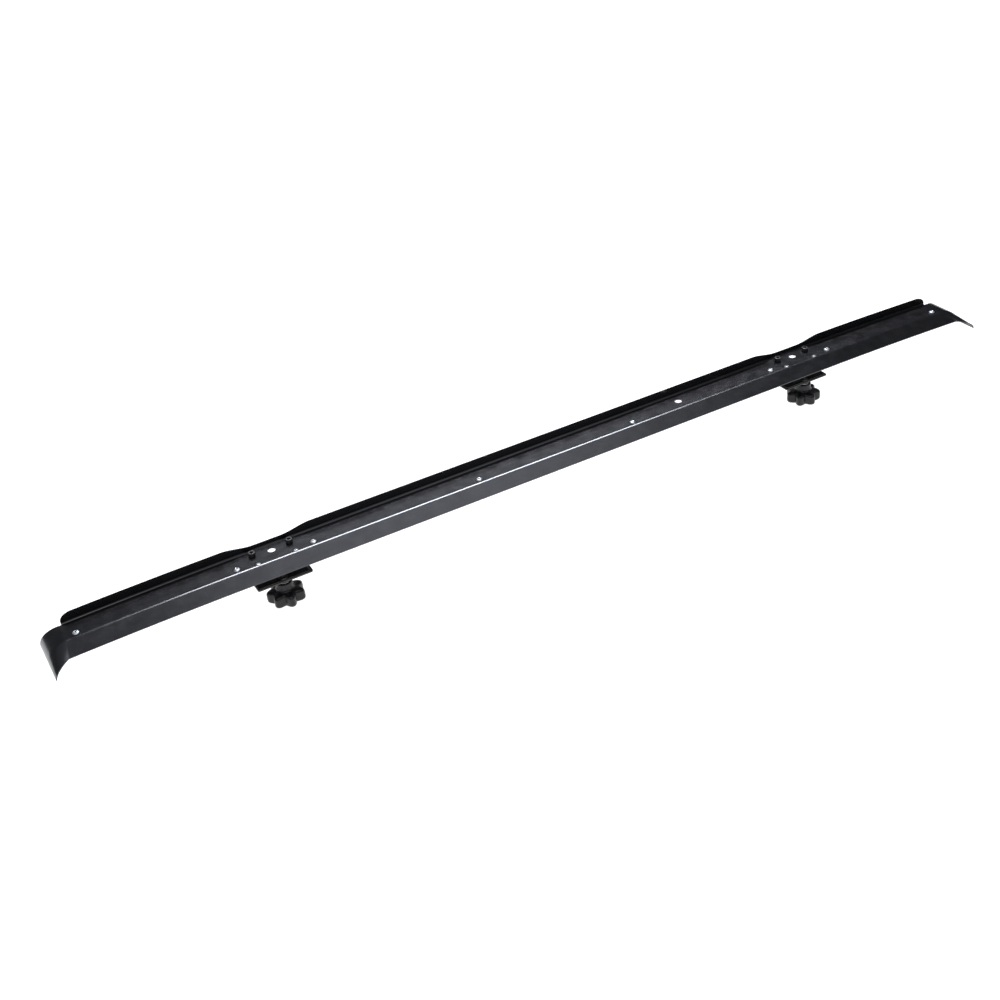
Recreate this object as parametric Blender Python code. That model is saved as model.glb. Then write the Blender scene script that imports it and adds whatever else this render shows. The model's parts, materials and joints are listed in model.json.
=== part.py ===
"""Ladder rack cross bar, about 60 in long, modelled as the pieces it is assembled from.

A pressed slide cover with curled ends is riveted to a fence rail, whose scalloped back edge
keeps a ladder from sliding off. Two screw clamps hang under the bar. In each one a hat-shaped
bracket is the fixed jaw, and a plate with a rubber pad is the moving jaw, drawn up by a star
knob on a threaded stud.

Frame: metres, +Z up, +X along the bar, -Y towards the side that the ladder comes over.
The origin lies midway between the knobs' outer ends, on the surface that they stand on.
Sizes are written in millimetres and turned into metres where a mesh is made.
"""

import math

import bmesh
import bpy
from mathutils import Vector

MM = 0.001
GAP = 0.3                 # air left between pieces that touch on the real object

# Bar
DECK_TOP = 64.8           # height of the cover's flat top above the standing surface
HALF_LENGTH = 763.5
SHEET = 1.5               # thickness of both sheets
COVER_BACK_Y = 37.2
RIDGE_RADIUS = 14.0       # outer radius of the bend between top and lip
LIP_REACH = 26.0          # how far the lip comes forward of the ridge
LIP_DROP = 9.0
FLARE_FRONT_Y = -42.5     # the curled end is wider than the lip
FLARE_BACK_Y = 42.0
SAG_START = 481.0         # the bar is straight up to here, and droops a little from here out
END_SAG = 5.0             # droop at the very end
END_DROP = 21.5           # how far the curl brings the end's lower edge below the drooping deck
CURL_START_TOP = 733.0    # where the top begins to curl down
CURL_START_LIP = 739.0    # where the lip's front edge begins to curl down
CURL_STEPS = 14
SAG_STEPS = 7             # sections along each drooping stretch

# Fence rail
RAIL_HALF = 731.0
RAIL_FRONT_Y = 1.5
FENCE_Y = 41.0            # front face of the fence
FENCE_TOP = 12.7          # height above the deck
FENCE_LOW = 6.2           # height above the deck beside each clamp
FENCE_BEND = 3.5          # inner bend radius
SCALLOP_FLAT = 20.0       # half length of the lowered stretch
SCALLOP_HALF = 66.0       # half length with its two S-curves
FENCE_END_ROUND = 17.0    # length of the rounded end of the fence
FENCE_STUB = 0.2          # what is left of the fence above its bend at the very end

# Fasteners in the bar
RIVET_X = (130.7, 388.4, 499.0, 719.0)
RIVET_Y = 8.9
RIVET_SHANK = 2.35
STATION_X = 443.3
BOLT_DX = 27.2
CAP_SCREW_Y = 27.5
FLAT_SCREW_Y = 4.6
SPARE_HOLES = ((-STATION_X, 25.0), (STATION_X, 25.0), (220.6, 19.0))
SPARE_HOLE_R = 5.5
CLEARANCE_R = 10.0                    # wider holes in the rail, set back under the cover's
CLEARANCE_SHIFT = 2.0
M6, M5 = 2.8, 2.35                    # shank radii

# Clamp
BRACKET_SHEET = 2.5
BRACKET_HALF = 37.0
CHEEK_HALF = 21.0         # outer face of the bracket's cheeks
JAW_BACK_Y = 34.0
JAW_FRONT_Y = 5.0
CHEEK_FRONT_Y = -10.5
JAW_FACE = -24.0          # fixed jaw's underside, from the deck
NUT_BAR = (-18.4, -10.0)  # underside and top of the nut bar, from the deck
NUT_BAR_HALF_Y = 7.2
STUD_Y = -3.0
STUD_R = 3.8
STUD_TOP = -11.6          # from the deck, low enough to clear the lip when the clamp closes
STUD_LOW = 6.5 - DECK_TOP
STUD_CHAMFER = 0.7
CLIP_R, CLIP_SHEET = 7.0, 1.0
WASHER_R, WASHER_SHEET = 9.0, 1.2
PAD_TOP = -28.9
PAD_SHEET = 1.6
PLATE_SHEET = 2.3
PLATE_LEFT, PLATE_RIGHT = -39.0, 41.5
PLATE_FRONT, PLATE_BACK = -8.0, 32.0   # from the stud's axis
CORNER = 3.0              # corner radius of plate and pad
KNOB_LOBES = 7
KNOB_R = 26.8
KNOB_VALLEY = 19.8
LOBE_STEPS = 8            # points round each lobe
HUB_R = 11.8
CAP_R = 9.8
ROUND = 16                # sides of the small round pieces

for old in list(bpy.data.objects):
    bpy.data.objects.remove(old, do_unlink=True)


# Materials

def principled(name, colour, roughness, metallic):
    """One Principled material."""
    material = bpy.data.materials.new(name)
    material.use_nodes = True
    shader = material.node_tree.nodes["Principled BSDF"]
    shader.inputs["Base Color"].default_value = (*colour, 1.0)
    shader.inputs["Roughness"].default_value = roughness
    shader.inputs["Metallic"].default_value = metallic
    return material


BLACK_COAT = principled("black_coat", (0.012, 0.013, 0.015), 0.22, 0.0)
BLACK_STEEL = principled("black_steel", (0.03, 0.03, 0.032), 0.38, 0.8)
BRIGHT_RIVET = principled("bright_rivet", (0.78, 0.79, 0.80), 0.28, 1.0)
ZINC_STEEL = principled("zinc_steel", (0.62, 0.63, 0.64), 0.35, 1.0)
KNOB_PLASTIC = principled("knob_plastic", (0.015, 0.015, 0.016), 0.35, 0.0)
RUBBER = principled("grip_rubber", (0.02, 0.02, 0.02), 0.8, 0.0)


# Mesh helpers

def add_mesh(name, points, faces, material, centre=(0.0, 0.0, 0.0)):
    """Makes an object from points in millimetres about its own centre."""
    bm = bmesh.new()
    verts = [bm.verts.new(Vector(p) * MM) for p in points]
    for face in faces:
        bm.faces.new([verts[i] for i in face])
    bmesh.ops.recalc_face_normals(bm, faces=bm.faces)
    mesh = bpy.data.meshes.new(name)
    bm.to_mesh(mesh)
    bm.free()
    mesh.shade_smooth()
    mesh.set_sharp_from_angle(angle=math.radians(35))
    mesh.materials.append(material)
    obj = bpy.data.objects.new(name, mesh)
    obj.location = Vector(centre) * MM
    bpy.context.collection.objects.link(obj)
    return obj


def ring_faces(rings, size):
    """Quads between successive closed rings of the same size."""
    faces = []
    for ring in range(rings - 1):
        for i in range(size):
            j = (i + 1) % size
            a = ring * size
            faces.append((a + i, a + j, a + size + j, a + size + i))
    return faces


def turned(name, profile, material, centre, sides=ROUND):
    """Turns a (radius, z) profile about Z; a radius of 0 closes an end with a point."""
    points, rows = [], []
    for radius, z in profile:
        if radius == 0.0:
            rows.append([len(points)])
            points.append((0.0, 0.0, z))
            continue
        rows.append(list(range(len(points), len(points) + sides)))
        for k in range(sides):
            angle = math.tau * k / sides
            points.append((radius * math.cos(angle), radius * math.sin(angle), z))
    closed = profile[0][0] != 0.0
    pairs = list(zip(rows, rows[1:])) + ([(rows[-1], rows[0])] if closed else [])
    faces = []
    for low, high in pairs:
        for k in range(sides):
            j = (k + 1) % sides
            corners = [low[k % len(low)], low[j % len(low)], high[j % len(high)], high[k % len(high)]]
            faces.append(list(dict.fromkeys(corners)))
    return add_mesh(name, points, faces, material, centre)


def prism(name, outline, depth, material, centre=(0.0, 0.0, 0.0), plane="XY"):
    """Extrudes a closed 2-D outline between two depths, normal to its plane."""
    place = {
        "XY": lambda a, b, d: (a, b, d),
        "XZ": lambda a, b, d: (a, d, b),
        "YZ": lambda a, b, d: (d, a, b),
    }[plane]
    points = [place(a, b, d) for d in depth for a, b in outline]
    size = len(outline)
    faces = ring_faces(2, size) + [tuple(range(size)), tuple(range(size, 2 * size))]
    return add_mesh(name, points, faces, material, centre)


def rounded_outline(low, high, radius, steps=5):
    """A rectangle in the XY plane with round corners."""
    corners = [(high[0], high[1], 0), (low[0], high[1], 90), (low[0], low[1], 180), (high[0], low[1], 270)]
    outline = []
    for x, y, start in corners:
        cx = x - math.copysign(radius, x - (low[0] + high[0]) / 2)
        cy = y - math.copysign(radius, y - (low[1] + high[1]) / 2)
        for k in range(steps + 1):
            angle = math.radians(start + 90 * k / steps)
            outline.append((cx + radius * math.cos(angle), cy + radius * math.sin(angle)))
    return outline


def hexagon(across_flats):
    """Corners of a hexagon with the given size across its flats."""
    radius = across_flats / 2 / math.cos(math.pi / 6)
    return [(radius * math.cos(math.tau * k / 6), radius * math.sin(math.tau * k / 6)) for k in range(6)]


def boolean(target, operand, operation):
    """Joins or cuts with another object, which stays as a hidden guide."""
    operand.hide_render = True
    operand.display_type = "WIRE"
    modifier = target.modifiers.new(operand.name, "BOOLEAN")
    modifier.operation = operation
    modifier.object = operand
    modifier.solver = "EXACT"


def drill(target, holes, low, high):
    """Cuts round holes (x, y, radius) through a piece between two heights."""
    points, faces = [], []
    for x, y, radius in holes:
        start = len(points)
        for z in (low, high):
            for k in range(ROUND):
                angle = math.tau * k / ROUND
                points.append((x + radius * math.cos(angle), y + radius * math.sin(angle), z))
        faces += [tuple(start + i for i in face) for face in ring_faces(2, ROUND)]
        faces.append(tuple(range(start, start + ROUND)))
        faces.append(tuple(range(start + ROUND, start + 2 * ROUND)))
    cutter = add_mesh(target.name + "_holes", points, faces, BLACK_STEEL)
    boolean(target, cutter, "DIFFERENCE")


# Places along the bar

STATIONS = {"left": -STATION_X, "right": STATION_X}
RIVETS = sorted([-x for x in RIVET_X] + list(RIVET_X))


def fastener_holes():
    """The rivets' and cap screws' holes, which the cover and the rail share."""
    holes = [(x, RIVET_Y, RIVET_SHANK + 2 * GAP) for x in RIVETS]
    for x in STATIONS.values():
        holes += [(x + dx, CAP_SCREW_Y, M6 + GAP) for dx in (-BOLT_DX, BOLT_DX)]
    return holes


def flat_screw_places():
    """Where the countersunk screws go."""
    return [(x + dx, FLAT_SCREW_Y) for x in STATIONS.values() for dx in (-BOLT_DX, BOLT_DX)]


def sag(x):
    """How far the bar droops outboard of the clamps, and its slope angle, at a place along it."""
    reach = HALF_LENGTH - SAG_START
    part = max(0.0, abs(x) - SAG_START) / reach
    return END_SAG * part * part, math.copysign(math.atan(2 * END_SAG * part / reach), x)


def sag_places():
    """Places along the right half where the drooping stretch gets a section."""
    return [SAG_START + (CURL_START_TOP - SAG_START) * k / SAG_STEPS for k in range(SAG_STEPS)]


# Slide cover

def cover_section():
    """Outer side of the straight cover, from its back edge to the lip: (y, z, share of the lip)."""
    slope = math.atan2(LIP_DROP, LIP_REACH)
    tangent = RIDGE_RADIUS * math.tan(slope / 2)
    section = [(COVER_BACK_Y, 0.0, 0.0), (24.0, 0.0, 0.0), (11.0, 0.0, 0.0)]
    bend_steps = 5
    for k in range(bend_steps + 1):
        angle = slope * k / bend_steps
        y = tangent - RIDGE_RADIUS * math.sin(angle)
        z = RIDGE_RADIUS * (math.cos(angle) - 1)
        section.append((y, z, max(0.0, -y / LIP_REACH)))
    for share in (0.4, 0.7, 1.0):
        section.append((-LIP_REACH * share, -LIP_DROP * share, share))
    return section


def cover_point(y, z, share, angle):
    """A point of the section carried round the end curl by an angle from 0 to 90 degrees.

    Each line follows a quarter of an ellipse. The lip's edge starts later than the top.
    """
    start = CURL_START_TOP + (CURL_START_LIP - CURL_START_TOP) * share
    along = math.sin(angle)
    left = max(0.0, math.cos(angle))
    widest = FLARE_FRONT_Y / -LIP_REACH if y < 0 else FLARE_BACK_Y / COVER_BACK_Y
    x = start + (HALF_LENGTH - start) * along
    flared_y = y * (1 + (widest - 1) * along)
    return Vector((x, flared_y, z * left - END_DROP * (1 - left) - sag(x)[0]))


def cover_columns():
    """Outer points of the cover, one list for each place along the bar, left to right."""
    section = cover_section()
    end = []
    for k in range(CURL_STEPS + 1):
        angle = math.pi / 2 * k / CURL_STEPS
        end.append([cover_point(*point, angle) for point in section])
    right = [[Vector((x, y, z - sag(x)[0])) for y, z, _ in section] for x in sag_places()] + end
    left = [[Vector((-p.x, p.y, p.z)) for p in column] for column in reversed(right)]
    return left + right


def sheet_normals(grid):
    """Unit normals of a grid of points, from the neighbours on each side."""
    normals = []
    for i, column in enumerate(grid):
        row = []
        for j in range(len(column)):
            before, after = grid[max(i - 1, 0)][j], grid[min(i + 1, len(grid) - 1)][j]
            back, front = column[max(j - 1, 0)], column[min(j + 1, len(column) - 1)]
            row.append((after - before).cross(back - front).normalized())
        normals.append(row)
    return normals


def sheet_mesh(name, grid, thickness, material):
    """A closed sheet: the grid is its outer side, and the inner side lies a thickness below it."""
    normals = sheet_normals(grid)
    rows, size = len(grid), len(grid[0])
    outer = [p for column in grid for p in column]
    inner = [p - n * thickness for column, ns in zip(grid, normals) for p, n in zip(column, ns)]
    total = rows * size
    faces = []
    for i in range(rows - 1):
        for j in range(size - 1):
            a, b = i * size + j, (i + 1) * size + j
            faces.append((a, a + 1, b + 1, b))
            faces.append((total + a, total + b, total + b + 1, total + a + 1))
    rim = [i * size for i in range(rows)]
    rim += [(rows - 1) * size + j for j in range(1, size)]
    rim += [i * size + size - 1 for i in range(rows - 2, -1, -1)]
    rim += [j for j in range(size - 2, 0, -1)]
    for a, b in zip(rim, rim[1:] + rim[:1]):
        faces.append((a, b, total + b, total + a))
    return add_mesh(name, outer + inner, faces, material, (0.0, 0.0, DECK_TOP))


def make_cover():
    """The slide cover, with countersinks for the flat screws."""
    cover = sheet_mesh("slide_cover", cover_columns(), SHEET, BLACK_COAT)
    spare_holes = [(x, y, SPARE_HOLE_R) for x, y in SPARE_HOLES]
    drill(cover, fastener_holes() + spare_holes, DECK_TOP - 12, DECK_TOP + 12)
    profile = [(0.0, 2.0), (M5 + 4.2, 2.0), (M5 + GAP, -1.9), (M5 + GAP, -5.0), (0.0, -5.0)]
    for k, (x, y) in enumerate(flat_screw_places(), 1):
        sink = turned(f"countersink_{k}", profile, BLACK_STEEL, (x, y, DECK_TOP))
        boolean(cover, sink, "DIFFERENCE")


# Fence rail

def fence_height(x):
    """Top of the fence above the deck: scalloped beside the clamps, rounded at its ends."""
    near = abs(abs(x) - STATION_X)
    blend = min(max((near - SCALLOP_FLAT) / (SCALLOP_HALF - SCALLOP_FLAT), 0.0), 1.0)
    height = FENCE_LOW + (FENCE_TOP - FENCE_LOW) * blend * blend * (3 - 2 * blend)
    start = RAIL_HALF - FENCE_END_ROUND
    if abs(x) > start:
        part = (abs(x) - start) / FENCE_END_ROUND
        foot = FENCE_BEND - SHEET - GAP + FENCE_STUB
        height = foot + (FENCE_TOP - foot) * math.sqrt(max(0.0, 1 - part * part))
    return height


def rail_stations():
    """Places along the rail where its section is set, closer together where it curves."""
    places = {0.0, *sag_places()}
    for k in range(9):
        places.add(RAIL_HALF - FENCE_END_ROUND * (1 - math.sin(math.pi / 2 * k / 8)))
    span = SCALLOP_HALF - SCALLOP_FLAT
    for k in range(11):
        places.add(STATION_X - SCALLOP_HALF + span * k / 10)
        places.add(STATION_X + SCALLOP_FLAT + span * k / 10)
    return sorted({-x for x in places} | places)


def rail_section(height):
    """Closed outline of the rail across the bar: flange, bend and fence."""
    top = -SHEET - GAP
    centre = (FENCE_Y - FENCE_BEND, top + FENCE_BEND)
    inner, outer = [], []
    bend_steps = 6
    for k in range(bend_steps + 1):
        angle = math.pi / 2 * k / bend_steps
        for radius, side in ((FENCE_BEND, inner), (FENCE_BEND + SHEET, outer)):
            side.append((centre[0] + radius * math.sin(angle), centre[1] - radius * math.cos(angle)))
    section = [(RAIL_FRONT_Y, top)] + inner + [(FENCE_Y, height), (FENCE_Y + SHEET, height)]
    return section + outer[::-1] + [(RAIL_FRONT_Y, top - SHEET)]


def make_rail():
    """The fence rail under the cover, which droops with it."""
    places = rail_stations()
    points, size = [], 0
    for x in places:
        section = rail_section(fence_height(x))
        size = len(section)
        drop, _ = sag(x)
        points += [(x, y, z - drop) for y, z in section]
    last = (len(places) - 1) * size
    faces = ring_faces(len(places), size)
    faces += [tuple(range(size)), tuple(range(last, last + size))]
    rail = add_mesh("fence_rail", points, faces, BLACK_COAT, (0.0, 0.0, DECK_TOP))
    holes = fastener_holes() + [(x, y, M5 + GAP) for x, y in flat_screw_places()]
    holes += [(x, y + CLEARANCE_SHIFT, CLEARANCE_R) for x, y in SPARE_HOLES]
    drill(rail, holes, DECK_TOP - 12, DECK_TOP + 12)


# Fasteners

def make_rivets():
    """Blind rivets: a domed head with a hollow centre, and the upset tail below the rail."""
    tail = -2 * SHEET - 2 * GAP
    profile = [
        (0.0, 0.1), (1.25, 0.1), (1.25, 1.5), (2.2, 1.75), (3.6, 1.35), (4.6, 0.7), (4.75, GAP),
        (RIVET_SHANK, GAP), (RIVET_SHANK, tail), (3.4, tail - 0.5), (3.5, tail - 2.0),
        (2.4, tail - 3.4), (0.0, tail - 3.6),
    ]
    for number, x in enumerate(RIVETS, 1):
        drop, slope = sag(x)
        rivet = turned(f"cover_rivet_{number}", profile, BRIGHT_RIVET, (x, RIVET_Y, DECK_TOP - drop))
        rivet.rotation_euler.y = slope


def make_cap_screw(name, x, y):
    """Socket head screw, its head on the cover."""
    profile = [
        (0.0, 3.0), (2.3, 3.0), (2.3, 6.0), (4.4, 6.0), (4.9, 5.5), (4.9, GAP),
        (M6, GAP), (M6, -15.0), (0.0, -15.0),
    ]
    turned(name, profile, BLACK_STEEL, (x, y, DECK_TOP))


def make_flat_screw(name, x, y):
    """Countersunk screw, flush with the cover, with a small drive recess."""
    profile = [
        (0.0, -0.9), (1.2, -0.9), (1.6, 0.15), (M5 + 1.95, 0.15), (M5, -1.75), (M5, -13.0), (0.0, -13.0),
    ]
    turned(name, profile, BLACK_STEEL, (x, y, DECK_TOP))


def make_nut(name, x, y, across_flats, height, bore):
    """Hexagon nut under the bracket's foot."""
    top = -2 * SHEET - 3 * GAP - BRACKET_SHEET
    outline = hexagon(across_flats)
    centre = (x, y, DECK_TOP)
    nut = prism(name, outline, (top - height, top), BLACK_STEEL, centre)
    drill(nut, [(x, y, bore)], DECK_TOP + top - height - 2, DECK_TOP + top + 2)


# Clamp pieces, each about the middle of its station

def make_bracket(side, x):
    """Fixed jaw: a hat-shaped bracket whose cheeks run forward to hold the nut bar."""
    foot_top = -2 * SHEET - 2 * GAP
    foot_low = foot_top - BRACKET_SHEET
    inner = CHEEK_HALF - BRACKET_SHEET
    right = [
        (CHEEK_HALF, JAW_FACE), (CHEEK_HALF, foot_low), (BRACKET_HALF, foot_low),
        (BRACKET_HALF, foot_top), (inner, foot_top), (inner, JAW_FACE + BRACKET_SHEET),
    ]
    outline = right + [(-a, b) for a, b in reversed(right)]
    centre = (x, 0.0, DECK_TOP)
    bracket = prism(f"{side}_bracket", outline, (JAW_FRONT_Y, JAW_BACK_Y), BLACK_COAT, centre, "XZ")
    overlap = 3.0
    nose = [
        (JAW_FRONT_Y + overlap, foot_low - 1.0), (JAW_FRONT_Y + overlap, JAW_FACE + 2.0),
        (JAW_FRONT_Y - 1.0, JAW_FACE + 4.0), (CHEEK_FRONT_Y, NUT_BAR[0] - GAP),
        (CHEEK_FRONT_Y, NUT_BAR[1] + 1.8),
    ]
    for name, edge in (("a", -CHEEK_HALF), ("b", inner)):
        cheek = prism(f"{side}_cheek_{name}", nose, (edge, edge + BRACKET_SHEET), BLACK_COAT, centre, "YZ")
        boolean(bracket, cheek, "UNION")
    holes = [(x + dx, CAP_SCREW_Y, M6 + GAP) for dx in (-BOLT_DX, BOLT_DX)]
    holes += [(x + dx, FLAT_SCREW_Y, M5 + GAP) for dx in (-BOLT_DX, BOLT_DX)]
    drill(bracket, holes, DECK_TOP - 14, DECK_TOP)


def make_nut_bar(side, x):
    """Steel bar welded between the cheeks, threaded for the stud."""
    half = CHEEK_HALF - BRACKET_SHEET - GAP
    outline = rounded_outline((-half, -NUT_BAR_HALF_Y), (half, NUT_BAR_HALF_Y), 1.5, 3)
    bar = prism(f"{side}_nut_bar", outline, NUT_BAR, BLACK_STEEL, (x, STUD_Y, DECK_TOP))
    drill(bar, [(x, STUD_Y, STUD_R + GAP)], DECK_TOP + NUT_BAR[0] - 2, DECK_TOP + NUT_BAR[1] + 2)


def jaw_layer(name, x, outline, low, high, bore, material):
    """One flat layer of the moving jaw, with a hole for the stud."""
    layer = prism(name, outline, (low, high), material, (x, STUD_Y, DECK_TOP))
    drill(layer, [(x, STUD_Y, bore)], DECK_TOP + low - 2, DECK_TOP + high + 2)


def make_jaw(side, x):
    """Moving jaw: a steel plate with a rubber pad on top; returns the plate's underside."""
    pad_low = PAD_TOP - PAD_SHEET
    low, high = (PLATE_LEFT + 1.5, PLATE_FRONT + 0.8), (PLATE_RIGHT - 5.0, PLATE_BACK - 1.5)
    outline = rounded_outline(low, high, CORNER)
    jaw_layer(f"{side}_grip_pad", x, outline, pad_low, PAD_TOP, STUD_R + 1.0, RUBBER)
    plate_top = pad_low - GAP
    plate_low = plate_top - PLATE_SHEET
    outline = rounded_outline((PLATE_LEFT, PLATE_FRONT), (PLATE_RIGHT, PLATE_BACK), CORNER)
    jaw_layer(f"{side}_clamp_plate", x, outline, plate_low, plate_top, STUD_R + 0.5, BLACK_COAT)
    return plate_low


def open_ring(inner, outer, opening, steps=16):
    """Outline of a flat ring with a gap, as a retaining clip has."""
    outline = []
    for radius, order in ((outer, range(steps + 1)), (inner, range(steps, -1, -1))):
        for k in order:
            angle = opening + (math.tau - 2 * opening) * k / steps
            outline.append((radius * math.sin(angle), radius * math.cos(angle)))
    return outline


def make_stud_set(side, x, plate_low):
    """Stud, retaining clip and thrust washer; returns the height of the knob's hub."""
    centre = (x, STUD_Y, DECK_TOP)
    stud = [
        (0.0, STUD_TOP), (STUD_R - STUD_CHAMFER, STUD_TOP), (STUD_R, STUD_TOP - STUD_CHAMFER),
        (STUD_R, STUD_LOW), (0.0, STUD_LOW),
    ]
    turned(f"{side}_stud", stud, BLACK_STEEL, centre)
    bore = STUD_R + GAP
    low = PAD_TOP + GAP
    clip = open_ring(bore, CLIP_R, math.radians(32))
    prism(f"{side}_retaining_clip", clip, (low, low + CLIP_SHEET), BLACK_STEEL, centre)
    top = plate_low - GAP
    low = top - WASHER_SHEET
    turned(f"{side}_thrust_washer", [(bore, top), (WASHER_R, top), (WASHER_R, low), (bore, low)],
           ZINC_STEEL, centre)
    return low - GAP


def lobed_ring(tip, valley, z):
    """One level of the star knob; equal radii give a plain circle."""
    size = KNOB_LOBES * LOBE_STEPS
    ring = []
    for k in range(size):
        angle = math.tau * k / size
        wave = ((1 + math.cos(KNOB_LOBES * angle)) / 2) ** 0.8
        radius = valley + (tip - valley) * wave
        ring.append((radius * math.sin(angle), -radius * math.cos(angle), z))
    return ring


def make_knob(side, x, hub_top):
    """Seven-lobed knob moulded on the stud, with a cap in its outer end."""
    bottom = -DECK_TOP
    hub = hub_top - bottom
    bore = STUD_R + GAP
    levels = [
        (CAP_R + 0.4, CAP_R + 0.4, 1.7), (CAP_R + 0.4, CAP_R + 0.4, 0.0),
        (22.8, 17.0, 0.0), (25.0, 18.5, 0.9), (26.4, 19.5, 2.6), (KNOB_R, KNOB_VALLEY, 4.8),
        (KNOB_R, KNOB_VALLEY, 12.6), (26.2, 19.3, 14.9), (24.3, 18.0, 16.7), (21.5, 16.4, 17.6),
        (17.2, 14.6, 18.2), (13.4, 13.2, 19.3), (12.2, 12.2, 21.1),
        (HUB_R, HUB_R, hub - 1.0), (HUB_R - 0.9, HUB_R - 0.9, hub), (bore, bore, hub), (bore, bore, 6.0),
    ]
    points = []
    for tip, valley, z in levels:
        points += lobed_ring(tip, valley, bottom + z)
    size = KNOB_LOBES * LOBE_STEPS
    last = (len(levels) - 1) * size
    faces = ring_faces(len(levels), size)
    faces += [tuple(range(size)), tuple(range(last, last + size))]
    centre = (x, STUD_Y, DECK_TOP)
    add_mesh(f"{side}_knob", points, faces, KNOB_PLASTIC, centre)
    cap = [(0.0, 0.3), (CAP_R - 1.2, 0.3), (CAP_R, 0.9), (CAP_R, 1.4), (0.0, 1.4)]
    turned(f"{side}_knob_cap", [(radius, bottom + z) for radius, z in cap], KNOB_PLASTIC, centre)


def make_station(side, x):
    """Everything that belongs to one clamp."""
    make_bracket(side, x)
    make_nut_bar(side, x)
    for k, dx in enumerate((-BOLT_DX, BOLT_DX), 1):
        make_cap_screw(f"{side}_cap_screw_{k}", x + dx, CAP_SCREW_Y)
        make_nut(f"{side}_cap_nut_{k}", x + dx, CAP_SCREW_Y, 10.0, 5.0, M6 + GAP)
        make_flat_screw(f"{side}_flat_screw_{k}", x + dx, FLAT_SCREW_Y)
        make_nut(f"{side}_flat_nut_{k}", x + dx, FLAT_SCREW_Y, 8.0, 4.0, M5 + GAP)
    plate_low = make_jaw(side, x)
    hub_top = make_stud_set(side, x, plate_low)
    make_knob(side, x, hub_top)


make_cover()
make_rail()
make_rivets()
for station_side, station_x in STATIONS.items():
    make_station(station_side, station_x)
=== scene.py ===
"""Looks of the ladder rack cross bar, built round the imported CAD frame.

Every CAD node is replaced by a finer piece in the same place: sheets with rounded edges and
smooth bends, real threads, sockets and lobes, each with a procedural finish. Lengths are written
in millimetres and turned into metres where a mesh is made. Heights of the sheets and of the
fasteners count from the deck, which is the flat top of the slide cover.
"""

import json
import math

import bmesh
import bpy
from mathutils import Matrix, Vector


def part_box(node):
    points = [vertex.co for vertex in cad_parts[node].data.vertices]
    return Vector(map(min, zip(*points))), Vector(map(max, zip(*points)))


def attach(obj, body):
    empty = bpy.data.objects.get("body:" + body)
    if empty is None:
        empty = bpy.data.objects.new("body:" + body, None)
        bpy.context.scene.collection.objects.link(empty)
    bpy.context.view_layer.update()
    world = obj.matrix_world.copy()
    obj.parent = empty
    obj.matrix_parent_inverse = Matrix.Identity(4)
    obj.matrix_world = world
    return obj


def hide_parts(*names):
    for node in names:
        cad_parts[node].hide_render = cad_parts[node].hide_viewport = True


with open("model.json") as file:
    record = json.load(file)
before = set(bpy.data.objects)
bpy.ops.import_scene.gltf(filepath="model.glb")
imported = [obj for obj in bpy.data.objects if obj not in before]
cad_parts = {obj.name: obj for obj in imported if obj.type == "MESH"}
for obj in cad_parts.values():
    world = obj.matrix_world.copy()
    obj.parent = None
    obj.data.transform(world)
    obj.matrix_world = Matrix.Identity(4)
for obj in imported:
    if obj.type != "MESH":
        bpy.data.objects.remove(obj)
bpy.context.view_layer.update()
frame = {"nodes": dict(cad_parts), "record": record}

MM = 0.001
GAP = 0.3                 # clearance between neighbouring pieces
CAP_HEAD = 6.0            # height of the socket screws' heads

# The record's bodies and finishes, node by node
RECORD = frame["record"]
BODY_OF = {node: body for body, nodes in RECORD["behaviour"]["bodies"].items() for node in nodes}
SLOT_OF = {part["node"]: part["material_slot"] for part in RECORD["subparts"]}


def corner(node, which):
    """Lowest (0) or highest (1) corner of a CAD node, in millimetres."""
    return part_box(node)[which] / MM


def middle(node):
    """Centre of a CAD node's box, in millimetres."""
    return (corner(node, 0) + corner(node, 1)) / 2


# Driving places, read from the frame
DECK_TOP = corner("left_cap_screw_1", 1).z - CAP_HEAD
HALF_LENGTH = corner("slide_cover", 1).x
FLARE_BACK_Y = corner("slide_cover", 1).y
FLARE_FRONT_Y = corner("slide_cover", 0).y
END_SAG = 5.0             # droop of the bar's outer stretches at their ends
END_DROP = DECK_TOP - corner("slide_cover", 0).z - END_SAG
RAIL_HALF = corner("fence_rail", 1).x
RAIL_FRONT_Y = corner("fence_rail", 0).y
STATION_X = middle("right_stud").x
STATIONS = {"left": -STATION_X, "right": STATION_X}
STUD_Y = middle("left_stud").y

# Shape of the bar's two sheets, as in the CAD
SHEET = 1.5
RIDGE_RADIUS = 14.0
LIP_REACH = 26.0
LIP_DROP = 9.0
COVER_BACK_Y = 37.2
SAG_START = 481.0
CURL_START_TOP = 733.0
CURL_START_LIP = 739.0
FENCE_Y = 41.0
FENCE_TOP = 12.7
FENCE_LOW = 6.2
FENCE_BEND = 3.5
SCALLOP_FLAT = 20.0
SCALLOP_HALF = 66.0
FENCE_END_ROUND = 17.0
FENCE_STUB = 0.2
EDGE = 0.35               # rounding of the sheets' cut edges

# Holes and fasteners
SPARE_HOLES = ((-STATION_X, 25.0), (STATION_X, 25.0), (220.6, 19.0))
SPARE_HOLE_R = 5.5
CLEARANCE_R = 10.0        # the rail's wider holes below the spare ones
CLEARANCE_SHIFT = 2.0     # how far behind the spare holes they are
CUTTER_REACH = 12.0       # how far the hole cutters pass the deck, up and down
RIVET_SHANK = 2.35
M6, M5 = 2.8, 2.35        # radii of the screws' threads, as in the CAD
M6_PITCH, M5_PITCH = 1.0, 0.8
CAP_HEAD_R = 4.9
KNURLS = 40

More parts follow.
